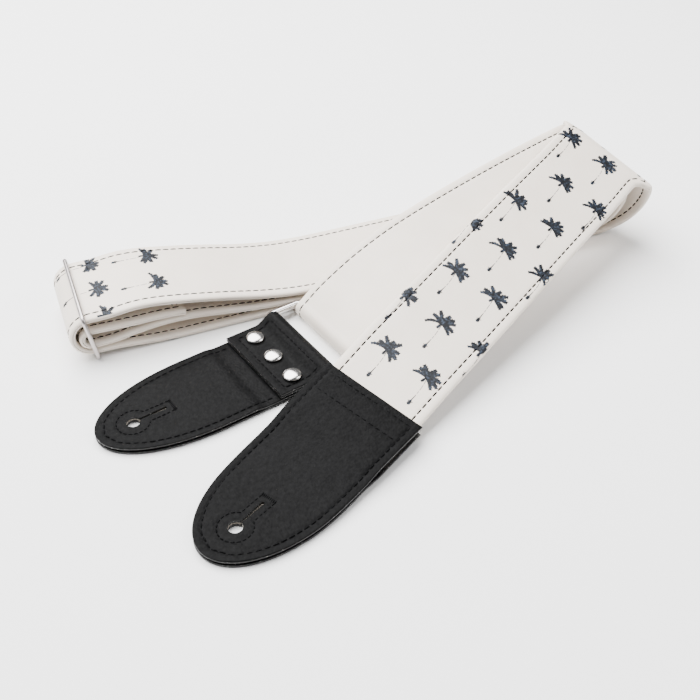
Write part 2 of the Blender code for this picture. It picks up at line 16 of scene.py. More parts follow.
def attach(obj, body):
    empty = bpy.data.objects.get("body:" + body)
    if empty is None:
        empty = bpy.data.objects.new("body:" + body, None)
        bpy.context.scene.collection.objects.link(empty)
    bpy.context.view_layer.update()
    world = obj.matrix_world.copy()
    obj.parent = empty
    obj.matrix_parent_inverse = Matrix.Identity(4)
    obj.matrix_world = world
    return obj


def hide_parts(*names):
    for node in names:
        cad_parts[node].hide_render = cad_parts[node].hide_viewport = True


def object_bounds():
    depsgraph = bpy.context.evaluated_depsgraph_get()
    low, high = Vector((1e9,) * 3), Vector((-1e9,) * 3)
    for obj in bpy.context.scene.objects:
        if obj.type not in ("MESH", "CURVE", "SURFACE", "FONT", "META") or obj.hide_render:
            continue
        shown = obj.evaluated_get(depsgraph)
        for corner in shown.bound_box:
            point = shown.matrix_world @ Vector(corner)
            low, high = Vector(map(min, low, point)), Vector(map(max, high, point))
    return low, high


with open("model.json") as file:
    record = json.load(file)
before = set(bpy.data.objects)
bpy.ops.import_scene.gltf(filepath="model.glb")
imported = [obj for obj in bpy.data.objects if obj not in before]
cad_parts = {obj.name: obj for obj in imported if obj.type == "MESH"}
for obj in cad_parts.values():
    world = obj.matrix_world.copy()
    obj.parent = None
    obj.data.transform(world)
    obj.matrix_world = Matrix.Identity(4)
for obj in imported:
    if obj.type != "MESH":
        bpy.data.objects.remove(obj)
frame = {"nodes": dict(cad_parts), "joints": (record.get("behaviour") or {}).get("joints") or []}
CAD_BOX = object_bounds()
MM = 0.001

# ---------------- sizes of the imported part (mm)
STRAP_WIDTH = 50.8
STRAP_THICK = 3.0
LAYER = 3.4
STITCH_INSET = 4.5
BUNDLE_Y = 4.5
FRONT_WIDTH, REAR_WIDTH = 54.6, 50.6
TAB_LENGTH, SHOULDER = 105.5, 50.0
PANEL = 1.1
STIFFENER = 0.6
GAP = 0.3
STRAP_IN_TAB = 24.0
TAB_STITCH = 3.7
CROSS_STITCH = 14.0
FLAP_LENGTH = 26.0
KEYHOLE_STITCH, SLOT_STITCH = 7.6, 3.6      # from the keyhole's middle to the stitches round it
HOLE_RADIUS = 3.25
SLIT_LENGTH, SLIT_WIDTH = 12.5, 0.9
HOLE_FROM_TIP = 17.5
RING_WIRE, RING_INNER, RING_REACH = 1.8, 53.4, 19.0
SLIDE_WIRE, SLIDE_INNER = 1.1, 52.6
RIVET_RUN, RIVET_PITCH, RIVET_CAP = 14.4, 16.8, 4.6
FLAP_GAP = 0.35
FRONT_AZIMUTH, BACK_AZIMUTH, MIDDLE_AZIMUTH = 28.0, 13.0, 14.0
FRONT_BACK_EDGE = Vector((-187.0, -107.0))
ORIGIN = Vector((-146.4, -66.7, 0.0))

joints = {j["name"]: j for j in frame["joints"]}
RING_FAR = Vector(joints["ring_pivot"]["pos_m"]) / MM + ORIGIN
RING_NEAR = Vector(joints["rear_tab_pivot"]["pos_m"]) / MM + ORIGIN
SLIDE_AXIS = Vector(joints["slide_pivot"]["pos_m"]) / MM + ORIGIN
SLIDE_AXIS.y = BUNDLE_Y


# ---------------- helpers
def heading(azimuth):
    """Level direction; the azimuth is in degrees from +x."""
    return Vector((cos(radians(azimuth)), sin(radians(azimuth)), 0.0))


def rightward(azimuth):
    """Level direction to the right of that heading."""
    return Vector((sin(radians(azimuth)), -cos(radians(azimuth)), 0.0))


def place(point):
    """Bundle millimetres to the part's frame in metres."""
    return (Vector(point) - ORIGIN) * MM


def ease(t):
    """Smooth step from 0 to 1."""
    t = min(max(t, 0.0), 1.0)
    return t * t * (3 - 2 * t)


def shares(parts):
    """0 to 1 in equal parts."""
    return [i / parts for i in range(parts + 1)]


def add_object(name, data):
    obj = bpy.data.objects.new(name, data)
    bpy.context.scene.collection.objects.link(obj)
    return obj


def mesh_object(name, verts, faces, mats, body, face_mats=None, sharp=50):
    """Closed mesh from bundle-frame millimetre points, riding on a body of the part."""
    mesh = bpy.data.meshes.new(name)
    mesh.from_pydata([place(v) for v in verts], [], faces)
    for mat in mats:
        mesh.materials.append(mat)
    if face_mats is not None:
        mesh.polygons.foreach_set("material_index", face_mats)
    bm = bmesh.new()
    bm.from_mesh(mesh)
    bmesh.ops.recalc_face_normals(bm, faces=bm.faces)
    bm.to_mesh(mesh)
    bm.free()
    mesh.shade_smooth()
    mesh.set_sharp_from_angle(angle=radians(sharp))
    obj = add_object(name, mesh)
    if body:
        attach(obj, body)
    return obj


def tube_faces(count, size, start=0, closed=False):
    """Faces of a tube of count rings of size points; capped unless it closes on itself."""
    faces = []
    for i in range(count if closed else count - 1):
        a, b = start + i * size, start + (i + 1) % count * size
        for k in range(size):
            m = (k + 1) % size
            faces.append((a + k, a + m, b + m, b + k))
    if not closed:
        last = start + (count - 1) * size
        faces += [tuple(range(start + size - 1, start - 1, -1)), tuple(range(last, last + size))]
    return faces


def loft(name, rings, mats, body, closed=False, sharp=50):
    """Tube through rings of equally many points."""
    verts = [p for ring in rings for p in ring]
    faces = tube_faces(len(rings), len(rings[0]), closed=closed)
    return mesh_object(name, verts, faces, mats, body, sharp=sharp)


# ---------------- materials
class Surface:
    """A Principled material with a few helpers for procedural detail, in object space."""

    def __init__(self, name, colour, roughness, metallic=0.0):
        self.mat = bpy.data.materials.new(name)
        self.mat.use_nodes = True
        self.nodes = self.mat.node_tree.nodes
        self.links = self.mat.node_tree.links
        self.bsdf = self.nodes["Principled BSDF"]
        self.set("Base Color", (*colour, 1.0))
        self.set("Roughness", roughness)
        self.set("Metallic", metallic)
        self.coords = self.nodes.new("ShaderNodeTexCoord").outputs["Object"]
        self.normal = None

    def set(self, socket, value):
        self.bsdf.inputs[socket].default_value = value

    def texture(self, kind, **inputs):
        node = self.nodes.new(kind)
        for socket, value in inputs.items():
            node.inputs[socket].default_value = value
        self.links.new(self.coords, node.inputs["Vector"])
        return node

    def noise(self, scale, detail=4.0, rough=0.55):
        return self.texture("ShaderNodeTexNoise", Scale=scale, Detail=detail, Roughness=rough).outputs["Fac"]

    def cells(self, scale):
        node = self.texture("ShaderNodeTexVoronoi", Scale=scale)
        node.feature = "SMOOTH_F1"
        return node.outputs["Distance"]

    def wave(self, scale, distortion, axis="X"):
        node = self.texture("ShaderNodeTexWave", Scale=scale, Distortion=distortion)
        node.bands_direction = axis
        return node.outputs["Fac"]

    def ramp(self, value, stops):
        """Colours by value; stops are (position, colour)."""
        node = self.nodes.new("ShaderNodeValToRGB")
        elements = node.color_ramp.elements
        while len(elements) < len(stops):
            elements.new(0.5)
        for element, (position, colour) in zip(elements, stops):
            element.position = position
            element.color = (*colour, 1.0)
        self.links.new(value, node.inputs["Fac"])
        return node.outputs["Color"]

    def remap(self, value, low, high):
        """A value of 0 to 1 taken to low to high."""
        node = self.nodes.new("ShaderNodeMapRange")
        node.inputs["To Min"].default_value = low
        node.inputs["To Max"].default_value = high
        self.links.new(value, node.inputs["Value"])
        return node.outputs["Result"]

    def bump(self, height, depth, strength):
        """Relief of a depth in metres, added to what is there."""
        node = self.nodes.new("ShaderNodeBump")
        node.inputs["Distance"].default_value = depth
        node.inputs["Strength"].default_value = strength
        self.links.new(height, node.inputs["Height"])
        if self.normal is not None:
            self.links.new(self.normal, node.inputs["Normal"])
        self.normal = node.outputs["Normal"]
        self.links.new(self.normal, self.bsdf.inputs["Normal"])

    def drive(self, socket, value):
        self.links.new(value, self.bsdf.inputs[socket])


PEBBLE_SCALE, PEBBLE_DEPTH = 1250.0, 0.00009         # shared by the vinyl and the ink on it


def vinyl(name, pale, warm, roughness):
    """Cream leather-look vinyl: fine pebble, faint cloudiness."""
    s = Surface(name, pale, roughness)
    s.drive("Base Color", s.ramp(s.noise(55.0, 5.0), [(0.35, warm), (0.62, pale)]))
    s.drive("Roughness", s.remap(s.noise(900.0), roughness - 0.07, roughness + 0.09))
    s.bump(s.cells(PEBBLE_SCALE), PEBBLE_DEPTH, 0.55)
    s.bump(s.noise(260.0, 6.0, 0.6), 0.00022, 0.4)
    s.set("Specular IOR Level", 0.42)
    return s.mat


def leatherette(name, dark, light, roughness):
    """Black pebbled leatherette with paler high spots."""
    s = Surface(name, dark, roughness)
    s.drive("Base Color", s.ramp(s.noise(520.0, 5.0, 0.6), [(0.35, dark), (0.75, light)]))
    s.drive("Roughness", s.remap(s.noise(650.0, 3.0), roughness - 0.08, roughness + 0.1))
    s.bump(s.cells(900.0), 0.00016, 0.8)
    s.bump(s.noise(330.0, 6.0, 0.6), 0.00028, 0.55)
    s.set("Specular IOR Level", 0.035)
    return s.mat


def cut_edge(name, dark, fleck):
    """Cut edge of leatherette: glossy black with pale backing fibres showing."""
    s = Surface(name, dark, 0.3)
    s.drive("Base Color", s.ramp(s.noise(900.0, 5.0, 0.8), [(0.60, dark), (0.68, fleck)]))
    s.bump(s.noise(1500.0, 4.0, 0.7), 0.0002, 0.8)
    s.set("Specular IOR Level", 0.25)
    return s.mat


def thread_material(name, colour, light):
    """Twisted thread: slanting bands, matt."""
    s = Surface(name, colour, 0.62)
    s.drive("Base Color", s.ramp(s.noise(1600.0, 3.0), [(0.35, colour), (0.7, light)]))
    s.bump(s.wave(900.0, 1.5, "DIAGONAL"), 0.00012, 0.8)
    s.set("Specular IOR Level", 0.05)
    return s.mat


def metal(name, colour, roughness):
    """Nickel plate: polished, with faint smears and fine scratches."""
    s = Surface(name, colour, roughness, 1.0)
    s.drive("Roughness", s.remap(s.noise(300.0, 6.0, 0.7), roughness - 0.04, roughness + 0.1))
    s.bump(s.noise(2200.0, 2.0), 0.00002, 0.35)
    return s.mat


def woven(name, dark, light, scale):
    """Coarse weave, or the grain of fibre board."""
    s = Surface(name, dark, 0.9)
    s.drive("Base Color", s.ramp(s.wave(scale, 0.6), [(0.2, dark), (0.8, light)]))
    s.bump(s.wave(scale, 0.4, "Y"), 0.0002, 0.8)
    return s.mat


def print_ink(name, ink, worn):
    """Navy print with paler, mottled patches."""
    s = Surface(name, ink, 0.5)
    s.drive("Base Color", s.ramp(s.noise(850.0, 4.0, 0.7), [(0.50, ink), (0.66, worn)]))
    s.bump(s.cells(PEBBLE_SCALE), PEBBLE_DEPTH, 0.5)
    s.set("Specular IOR Level", 0.2)
    return s.mat


cream = vinyl("printed_cream_vinyl", (0.80, 0.722, 0.635), (0.77, 0.69, 0.60), 0.48)
plain = vinyl("plain_cream_vinyl", (0.79, 0.715, 0.635), (0.755, 0.675, 0.59), 0.5)
black = leatherette("pebbled_black_leatherette", (0.0020, 0.0020, 0.0021), (0.0062, 0.0062, 0.0064), 0.46)
edge_black = cut_edge("cut_leatherette_edge", (0.006, 0.006, 0.006), (0.5, 0.49, 0.47))
thread_dark = thread_material("black_sewing_thread", (0.0012, 0.0012, 0.0014), (0.004, 0.004, 0.0045))
nickel = metal("polished_nickel", (0.60, 0.585, 0.575), 0.14)
wire = metal("nickel_wire", (0.46, 0.425, 0.41), 0.28)
webbing = woven("webbing_weave", (0.55, 0.50, 0.42), (0.70, 0.66, 0.58), 500.0)
board = woven("fibre_board", (0.22, 0.19, 0.16), (0.34, 0.31, 0.27), 260.0)
ink = print_ink("navy_print", (0.0012, 0.0018, 0.0040), (0.040, 0.056, 0.086))


# ---------------- the strap's route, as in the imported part
def line_y(start, azimuth, x):
    """y at x on the level line through start."""
    return start.y + (x - start.x) * sin(radians(azimuth)) / cos(radians(azimuth))


def fold(centre_x, radius, y_top, z_top, z_low, azimuth, bank, upward=False):
    """Half turn from an upper run to a lower one, or the other way round."""
    middle, half = (z_top + z_low) / 2, (z_top - z_low) / 2
    out = []
    for t in shares(8):
        angle = pi / 2 - pi * t
        lean = 0.5 + 0.5 * cos(pi * t)
        out.append((centre_x + radius * cos(angle), BUNDLE_Y + (y_top - BUNDLE_Y) * lean,
                    middle + half * sin(angle), azimuth * lean, bank * lean))
    return out[::-1] if upward else out


TAB_FLAT = PANEL + GAP + STIFFENER / 2
FRONT_HEIGHT, FRONT_BANK = 11.2, 9.4


def front_height(w):
    """Height of the front tab's middle; it comes down to the floor towards the tip."""
    return FRONT_HEIGHT + (TAB_FLAT - FRONT_HEIGHT) * ease((w + 20) / 92)


def front_bank(w):
    """Sideways tilt of the front tab, in degrees."""
    return FRONT_BANK * (1 - ease((w + 20) / 86))


# Each run of the route is a list of (x, y, z, azimuth, bank), with angles in degrees.
def top_run():
    """From the end inside the front tab up to the folds."""
    profile = [(-w, front_height(w), front_bank(w)) for w in (STRAP_IN_TAB, 16, 8, 0)]
    profile += [(25, 15.8, 11.4), (50, 20.4, 13.4), (75, 25.2, 15.4), (100, 30.0, 17.4),
                (125, 34.8, 19.0), (150, 39.4, 20.2), (175, 43.6, 21.0)]
    head = heading(FRONT_AZIMUTH)
    return [(FRONT_BACK_EDGE.x + head.x * run, FRONT_BACK_EDGE.y + head.y * run, z, FRONT_AZIMUTH, bank)
            for run, z, bank in profile]


LOW = STRAP_THICK / 2
TOP_AT_FOLD = 47.9
MIDDLE_AT_FOLD = 44.6
FOLD_BANK = 21.0
INNER_AT_FOLD = MIDDLE_AT_FOLD - LAYER / cos(radians(FOLD_BANK))


def outer_fold():
    y_top = line_y(FRONT_BACK_EDGE, FRONT_AZIMUTH, -13.0)
    return fold(-13.0, 19.0, y_top, TOP_AT_FOLD, LOW, FRONT_AZIMUTH, FOLD_BANK)


def flat_run(spots):
    """Level run along the bundle from (x, z) spots."""
    return [(x, BUNDLE_Y, z, 0.0, 0.0) for x, z in spots]


def lowest_run():
    return flat_run([(x, LOW) for x in range(-40, -241, -40)]
                    + [(-262, LOW + 0.3), (-275, LOW + 1.6), (-286, LOW + 2.6)])


def outer_turn():
    low, high, centre_x = LOW + 2.7, 22.9, -295.9
    middle, half = (low + high) / 2, (high - low) / 2
    angles = [-pi / 2 - pi * t for t in shares(10)]
    return flat_run([(centre_x + half * cos(a), middle + half * sin(a)) for a in angles])


def upper_run():
    return flat_run(((-286, 23.1), (-274, 24.3), (-262, 23.6), (-245, 20.6), (-228, 17.0), (-212, 13.2),
                     (-196, 10.3), (-182, 8.9), (-165, LOW + 2 * LAYER), (-120, LOW + 2 * LAYER),
                     (-80, LOW + 2 * LAYER), (-40, LOW + 2 * LAYER)))


def middle_y(x):
    return line_y(RING_FAR, MIDDLE_AZIMUTH, x)


def inner_fold():
    return fold(-17.8, 9.6, middle_y(-17.0), INNER_AT_FOLD, LOW + 2 * LAYER, MIDDLE_AZIMUTH, FOLD_BANK, True)


MIDDLE_PROFILE = ((-50, 41.8, 19.5), (-80, 38.2, 17.8), (-110, 33.8, 15.0), (-135, 29.2, 11.5),
                  (-155, 23.6, 7.5), (-168, 18.6, 4.2), (-177, 14.4, 2.0))


def under_run():
    out = []
    for x, z, bank in MIDDLE_PROFILE:
        drop = LAYER / cos(radians(bank)) + (1.1 if x < -130 else 0.1)
        out.append((x, middle_y(x), max(z - drop, LOW), MIDDLE_AZIMUTH, bank))
    out[-1] = (-176, middle_y(-176), 5.2, MIDDLE_AZIMUTH, 0.8)
    out[-2] = (-166, middle_y(-166), 11.4, MIDDLE_AZIMUTH, 3.6)
    return out


def ring_turn():
    radius = RING_WIRE + 0.4 + STRAP_THICK / 2
    head = heading(BACK_AZIMUTH)
    out = []
    for t in shares(8):
        angle = -pi / 2 + 0.25 - (pi + 0.05) * t
        spot = RING_FAR + head * radius * cos(angle)
        out.append((spot.x, spot.y, RING_FAR.z + radius * sin(angle), BACK_AZIMUTH, 0.0))
    return out


def plain_run():
    return [(x, middle_y(x), z, MIDDLE_AZIMUTH, bank) for x, z, bank in reversed(MIDDLE_PROFILE)]


def middle_fold():
    return fold(-17.0, 13.0, middle_y(-17.0), MIDDLE_AT_FOLD, LOW + LAYER, MIDDLE_AZIMUTH, FOLD_BANK)


def return_run():
    return flat_run([(x, LOW + LAYER) for x in range(-40, -161, -40)]
                    + [(-190, 5.2), (-212, 6.6), (-230, 9.0), (-245, 11.0), (-260, 11.6), (-274, 10.2),
                       (-286, 8.2)])


def sewn_loop():
    radius = 4.1
    angles = [-pi / 2 - pi * t for t in shares(8)]
    out = [(SLIDE_AXIS.x + radius * cos(a), SLIDE_AXIS.z + radius * sin(a)) for a in angles]
    return flat_run(out + [(-286, 15.7), (-274, 15.4), (-262, 15.4), (-250, 14.7)])


def catmull(a, b, c, d, t):
    """Smooth curve from b to c; a and d are its neighbours."""
    square, cube = 2 * a - 5 * b + 4 * c - d, 3 * b - a - 3 * c + d
    return 0.5 * (2 * b + (c - a) * t + square * t * t + cube * t ** 3)


class Strap:
    """Samples of the strap's middle surface: distance along it, centre, width direction and normal."""

    def __init__(self, stations, longest):
        values = [stations[0]] + stations + [stations[-1]]
        rows = []
        for i in range(1, len(values) - 2):
            a, b, c, d = values[i - 1:i + 3]
            span = hypot(*[c[k] - b[k] for k in range(3)])
            parts = max(1, round(span / longest))
            rows += [[catmull(a[k], b[k], c[k], d[k], j / parts) for k in range(5)] for j in range(parts)]
        rows.append(list(values[-2]))
        self.u, self.centre, self.across, self.normal = [0.0], [], [], []
        for i, row in enumerate(rows):
            row[2] = max(row[2], LOW)
            centre = Vector(row[:3])
            after = Vector(rows[min(i + 1, len(rows) - 1)][:3])
            before = Vector(rows[max(i - 1, 0)][:3])
            along = (after - before).normalized()
            bank = radians(row[4])
            across = rightward(row[3]) * cos(bank) - Vector((0, 0, sin(bank)))
            slant = across.dot(along)
            if self.centre:
                self.u.append(self.u[-1] + (centre - self.centre[-1]).length)
            self.centre.append(centre)
            self.across.append(across / (1 - slant * slant) ** 0.5)
            self.normal.append(across.cross(along).normalized())
        self.length = self.u[-1]

    def at(self, u):
        """Centre, width direction and normal at a distance along the strap."""
        k = int(np.searchsorted(self.u, u, side="right")) - 1
        k = min(max(k, 0), len(self.u) - 2)
        t = (u - self.u[k]) / (self.u[k + 1] - self.u[k])
        return (self.centre[k].lerp(self.centre[k + 1], t), self.across[k].lerp(self.across[k + 1], t),
                self.normal[k].lerp(self.normal[k + 1], t).normalized())


LONGEST_STEP = 2.2
TO_UPPER_RUN = top_run() + outer_fold() + lowest_run() + outer_turn()
strap = Strap(TO_UPPER_RUN + upper_run() + inner_fold() + under_run() + ring_turn() + plain_run()
              + middle_fold() + return_run() + sewn_loop(), LONGEST_STEP)
U_UPPER = Strap(TO_UPPER_RUN, LONGEST_STEP).length        # where the printed upper run starts

STITCH_V = STRAP_WIDTH / 2 - STITCH_INSET
CORE_WIDTH, CORE_THICK = 45.8, 0.8
FACE_HEIGHT, INNER_HEIGHT = 1.5, 0.62
# half of a vinyl's section as (v, h): its outside from the middle past the dip under the stitches to the
# rolled edge, then its inside back to the middle
OUTSIDE = ((5, 1.5), (10, 1.5), (15, 1.5), (18.6, 1.5), (19.9, 1.46), (20.5, 1.36), (20.9, 1.27),
           (21.3, 1.36), (21.9, 1.47), (22.8, 1.51), (23.7, 1.49), (24.5, 1.34), (25.05, 1.0),
           (25.33, 0.62), (25.4, 0.12))
INSIDE = ((24.7, 0.1), (23.9, 0.18), (23.2, 0.5), (21, INNER_HEIGHT), (12, INNER_HEIGHT))
ACROSS, HEIGHTS = zip((0.0, FACE_HEIGHT), *OUTSIDE)


def surface_height(v):
    """Height of the vinyl's outer face at a place across the strap."""
    return float(np.interp(abs(v), ACROSS, HEIGHTS))


def on_strap(u, v, side=1):
    """Point and outward normal on the face vinyl, or on the backing with side -1."""
    centre, across, normal = strap.at(u)
    return centre + across * v + normal * side * surface_height(v), normal * side


def vinyl_section(side):
    """Closed section of the face vinyl (side 1) or the backing (-1)."""
    outside = [(0.0, FACE_HEIGHT)] + list(OUTSIDE)
    outline = [(-v, h) for v, h in outside[:0:-1]] + outside + list(INSIDE)
    outline += [(0.0, INNER_HEIGHT)] + [(-v, h) for v, h in INSIDE[::-1]]
    return [(v, h * side) for v, h in outline]


def core_section():
    """Section of the webbing between the vinyls."""
    v, h = CORE_WIDTH / 2, CORE_THICK / 2
    return (-v, -h), (v, -h), (v, h), (-v, h)


def build_layer(name, section, mat, node, ends=0):
    """Closed sheet with one section all along the strap, left out at some samples of each end."""
    samples = list(zip(strap.centre, strap.across, strap.normal))
    rings = [[centre + across * v + normal * h for v, h in section]
             for centre, across, normal in samples[ends:len(samples) - ends]]
    obj = loft(name, rings, [mat], "strap", sharp=65)
    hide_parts(node)
    return obj


face = build_layer("strap_face", vinyl_section(1), cream, "strap_face_vinyl")
backing = build_layer("strap_backing", vinyl_section(-1), plain, "strap_backing_vinyl")
core = build_layer("strap_webbing", core_section(), webbing, "strap_webbing_core", 2)


# ---------------- stitches
class Batch:
    """Many small closed solids joined into one mesh."""

    def __init__(self):
        self.verts, self.faces = [], []

    def tube(self, points, normals, widths, heights, sides=6):
        """Flattened tube through points; normals give its up direction."""
        start = len(self.verts)
        count = len(points)
        for i, point in enumerate(points):
            along = (points[min(i + 1, count - 1)] - points[max(i - 1, 0)]).normalized()
            side = along.cross(normals[i]).normalized()
            up = side.cross(along)
            for k in range(sides):
                a = 2 * pi * k / sides
                self.verts.append(point + side * widths[i] / 2 * cos(a) + up * heights[i] / 2 * sin(a))
        self.faces += tube_faces(count, sides, start)

    def build(self, name, mat, body):
        return mesh_object(name, self.verts, self.faces, [mat], body, sharp=80)


# share of a stitch's run, share of its full width there and rise over the surface (mm)
STITCH_SHAPE = ((0.0, 0.45, -0.28), (0.14, 0.85, -0.02), (0.5, 1.0, 0.06), (0.86, 0.85, -0.02),
                (1.0, 0.45, -0.28))
THREAD_FLATNESS = 0.72


def stitch(batch, surface, start, end, width, lift):
    """One stitch over surface(s) -> (point, normal), plunging in at both ends."""
    points, normals, widths, heights = [], [], [], []
    for t, wide, rise in STITCH_SHAPE:
        point, normal = surface(start + (end - start) * t)
        points.append(point + normal * (rise + lift))
        normals.append(normal)
        widths.append(width * wide)
        heights.append(width * THREAD_FLATNESS * wide)
    batch.tube(points, normals, widths, heights)


STRAP_PITCH, STRAP_STITCH, STRAP_THREAD, STRAP_LIFT = 4.0, 3.45, 0.84, 0.07
FIRST_STITCH, END_MARGIN = 1.2, 2.0


def strap_rows():
    """Stitches along both edges, on the face and on the backing."""
    batch = Batch()
    count = int((strap.length - STRAP_IN_TAB - END_MARGIN) / STRAP_PITCH)
    for side in (1, -1):
        for v in (STITCH_V, -STITCH_V):
            for i in range(count):
                u = STRAP_IN_TAB + FIRST_STITCH + STRAP_PITCH * i
                stitch(batch, lambda s: on_strap(s, v, side), u, u + STRAP_STITCH, STRAP_THREAD, STRAP_LIFT)
    rows = batch.build("strap_edge_stitches", thread_dark, "strap")


strap_rows()


# ---------------- palm print
ROW_PITCH, PALM_SPACING, FIRST_ROW = 28.9, 23.4, 25.4
PRINT_MIDDLE, PRINT_SKEW = 2.4, 0.045     # the cloth was printed slightly askew to the strap
UPPER_ROWS = ((9.5, (-19.7, 2.3, 24.5)), (38.0, (-16.5, 7.8)))     # distance into the run, places across
PALM_OVER_EDGE = 3.0        # a palm may stand this far past the edge and be cut off
PALM_SHOWS = 4.5            # rows starting further under the tab than this stay hidden
PRINT_LIFT, PRINT_FILM = 0.06, 0.09
CURVED_FROM, PRINT_EDGE = 17.0, 24.9
FINE_COLUMN, WIDE_COLUMN = 0.6, 2.5
TRUNK, FOOT_ASIDE = 17.4, 1.7


class Print:
    """Ink film on the face vinyl: thin closed strips between a left and a right outline."""

    def __init__(self):
        self.verts, self.faces = [], []

    def strip(self, pairs):
        """pairs: ((u, v), (u, v)) outlines, in order; cut off at the strap's edge."""
        kept = []
        for left, right in pairs:
            if abs(left[1]) > PRINT_EDGE and abs(right[1]) > PRINT_EDGE:
                self.add(kept)
                kept = []
            else:
                kept.append([(u, min(max(v, -PRINT_EDGE), PRINT_EDGE)) for u, v in (left, right)])
        self.add(kept)

    def add(self, kept):
        """Closed strip, divided finely across where the vinyl curves down to its edge."""
        if len(kept) < 2:
            return
        reach = max(abs(left[1] - right[1]) for left, right in kept)
        curved = any(abs(v) > CURVED_FROM for pair in kept for _, v in pair)
        columns = 1 + int(reach / (FINE_COLUMN if curved else WIDE_COLUMN))
        top, start = columns + 1, len(self.verts)
        for (left_u, left_v), (right_u, right_v) in kept:
            for h in (PRINT_LIFT - PRINT_FILM, PRINT_LIFT):
                for k in range(top):
                    t = k / columns
                    point, normal = on_strap(left_u + (right_u - left_u) * t, left_v + (right_v - left_v) * t)
                    self.verts.append(point + normal * h)
        for i in range(len(kept) - 1):
            a = start + 2 * top * i
            b = a + 2 * top
            for k in range(columns):
                self.faces += [(a + top + k, a + top + k + 1, b + top + k + 1, b + top + k),
                               (a + k, b + k, b + k + 1, a + k + 1)]
            self.faces += [(a, a + top, b + top, b),
                           (a + columns, b + columns, b + columns + top, a + columns + top)]
        end = start + 2 * top * (len(kept) - 1)
        for k in range(columns):
            self.faces += [(start + k, start + k + 1, start + top + k + 1, start + top + k),
                           (end + k, end + top + k, end + top + k + 1, end + k + 1)]


def symmetric(film, spots):
    """Strip about a line of (u, v, half width) spots."""
    film.strip([((u, v - half), (u, v + half)) for u, v, half in spots])


def frond(film, u0, v0, direction, bend, length, width, rng):
    """Feathered leaf from a crown; direction and bend in radians from +u, positive towards +v."""
    steps = 12
    spine = [(u0, v0)]
    angles = []
    for i in range(steps):
        a = direction + bend * ((i + 0.5) / steps) ** 1.25
        angles.append(a)
        u, v = spine[-1]
        spine.append((u + cos(a) * length / steps, v + sin(a) * length / steps))
    angles.append(angles[-1])
    pairs = []
    for i, ((u, v), a) in enumerate(zip(spine, angles)):
        t = i / steps
        body = width * sin(pi * (0.12 + 0.74 * t)) ** 0.7
        tooth, rake = (1.0, 0.35 * body) if i % 2 else (0.62, 0.0)
        left = body * tooth * rng.uniform(0.85, 1.15)
        right = body * tooth * rng.uniform(0.85, 1.15)
        du, dv = cos(a), sin(a)
        pairs.append(((u - dv * left * 0.5 + du * rake, v + du * left * 0.5 + dv * rake),
                      (u + dv * right * 0.5 + du * rake, v - du * right * 0.5 + dv * rake)))
    film.strip(pairs)


# each leaf's direction and bend (radians), length and width
FRONDS = ((-1.42, -0.95, 8.0, 2.4), (-0.92, -0.75, 6.6, 3.1), (-0.45, -0.55, 7.2, 3.1),
          (0.02, 0.30, 6.6, 3.3), (0.45, 0.50, 7.6, 3.2), (0.90, 0.65, 7.2, 3.4),
          (1.32, 0.80, 7.4, 3.1), (1.75, 0.85, 7.2, 2.7), (3.10, 0.10, 3.0, 1.8))
LEAF_SLIMMING = 0.86
CROWN_ROOT = 2.4            # leaves start this far down the trunk from the crown's middle
TRUNK_PIECES = ((0.0, 0.34), (0.38, 0.55), (0.60, 0.68), (0.73, 1.0))      # worn away in between


def palm(film, u, v, rng):
    """Palm standing along +u: crown, thin trunk and a tuft at its foot."""
    lean = rng.uniform(-0.08, 0.08)
    for direction, bend, length, width in FRONDS:
        frond(film, u - CROWN_ROOT, v, direction + lean + rng.uniform(-0.14, 0.14),
              bend * rng.uniform(0.8, 1.25), length * rng.uniform(0.86, 1.08), width * LEAF_SLIMMING, rng)
    symmetric(film, [(u - 1.5 + 3.2 * t, v, 1.5 * sin(pi * (0.12 + 0.8 * t)) ** 0.6) for t in shares(6)])
    sway = rng.uniform(0.3, 1.0)
    foot = v + FOOT_ASIDE
    for start, end in TRUNK_PIECES:
        symmetric(film, [(u - TRUNK * t, v + FOOT_ASIDE * t + sway * sin(pi * t),
                          0.10 + 0.38 * (1 - t) ** 8 + 0.30 * t ** 7)
                         for t in (start + (end - start) * part for part in shares(6))])
    for turn in (-0.9, -0.3, 0.3, 0.9):
        symmetric(film, [(u - TRUNK - 0.3 + 1.5 * t * cos(turn), foot + 1.6 * t * sin(turn),
                          0.55 * (1 - 0.7 * t)) for t in shares(3)])
    symmetric(film, [(u - TRUNK - 1.7 + 1.9 * t, foot, 0.95 * sin(pi * (0.1 + 0.8 * t))) for t in shares(5)])


def build_print():
    """Staggered rows of two and three palms, and two rows of their own on the upper run by the slide."""
    rng = np.random.default_rng(7)
    film = Print()
    last_row = int((U_UPPER - ROW_PITCH - STRAP_IN_TAB - FIRST_ROW) / ROW_PITCH)
    for row in range(-1, last_row + 1):
        u = STRAP_IN_TAB + FIRST_ROW + ROW_PITCH * row
        middle = PRINT_MIDDLE - PRINT_SKEW * (u - STRAP_IN_TAB) + PALM_SPACING / 2 * ((row + 1) % 2)
        middle -= PALM_SPACING * round(middle / PALM_SPACING)
        for k in (-1, 0, 1):
            v = middle + PALM_SPACING * k
            if u > STRAP_IN_TAB - PALM_SHOWS and abs(v) < STRAP_WIDTH / 2 + PALM_OVER_EDGE:
                palm(film, u + rng.uniform(-0.5, 0.5), v + rng.uniform(-0.4, 0.4), rng)
    for start, places in UPPER_ROWS:
        for v in places:
            palm(film, U_UPPER + start, v, rng)
    obj = mesh_object("palm_print", film.verts, film.faces, [ink], "strap", sharp=30)


build_print()


# ---------------- tabs
TIP_POWER = 2.2


def half_width(w, width):
    """Half width of a tab: straight sides up to its shoulder, then a rounded tip."""
    if w <= SHOULDER:
        return width / 2
    t = min((w - SHOULDER) / (TAB_LENGTH - SHOULDER), 1.0)
    return width / 2 * (1 - t ** TIP_POWER) ** 0.5


